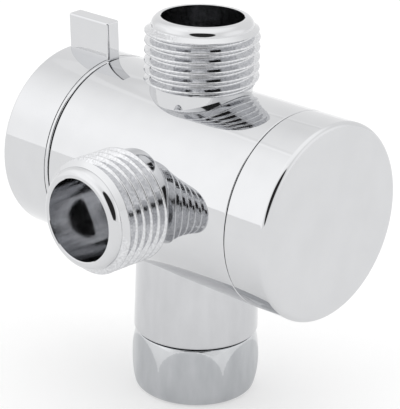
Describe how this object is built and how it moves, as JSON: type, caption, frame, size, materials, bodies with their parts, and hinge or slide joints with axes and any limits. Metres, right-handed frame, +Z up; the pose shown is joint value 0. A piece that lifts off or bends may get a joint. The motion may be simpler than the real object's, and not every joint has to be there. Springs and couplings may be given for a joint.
{
  "type": "shower diverter valve",
  "caption": "Chromed diverter valve: a horizontal cylinder with a threaded outlet on top and in front, a swivel nut below and a lever knob on one end that picks the outlet.",
  "frame": {"origin": "centre of the inlet's mouth, the swivel nut's lower face", "axes": "+Z up the inlet to the top outlet, -Y out of the front outlet, +X from the selector knob to the end cap"},
  "size_m": [0.0653, 0.0488, 0.0725],
  "materials": {
    "chrome": "polished chrome plate on brass",
    "brass": "machined brass",
    "rubber": "moulded black rubber",
    "white_plastic": "machined white plastic",
    "stainless": "bright stainless steel"
  },
  "bodies": {
    "valve": {"valve_body": "chrome", "stop_pin": "stainless", "end_plug": "brass", "plug_o_ring": "rubber", "pivot_bush": "white_plastic", "end_cap": "chrome", "tailpiece": "brass", "tailpiece_o_ring": "rubber", "slip_ring": "white_plastic", "inlet_screen": "stainless", "inlet_washer": "rubber"},
    "selector": {"knob": "chrome", "set_screw": "stainless", "rotor": "brass", "stem_o_ring_outer": "rubber", "stem_o_ring_inner": "rubber", "thrust_washer": "white_plastic", "pad_cup": "white_plastic", "seal_pad": "rubber", "pad_spring": "stainless"},
    "nut": {"swivel_nut": "chrome"}
  },
  "joints": [
    {"name": "selector_turn", "type": "hinge", "parent": "valve", "child": "selector", "pos_m": [0, 0, 0.0416], "axis": [-1, 0, 0], "range_deg": [0, 95.6]},
    {"name": "nut_swivel", "type": "hinge", "parent": "valve", "child": "nut", "pos_m": [0, 0, 0], "axis": [0, 0, 1], "continuous": true}
  ]
}
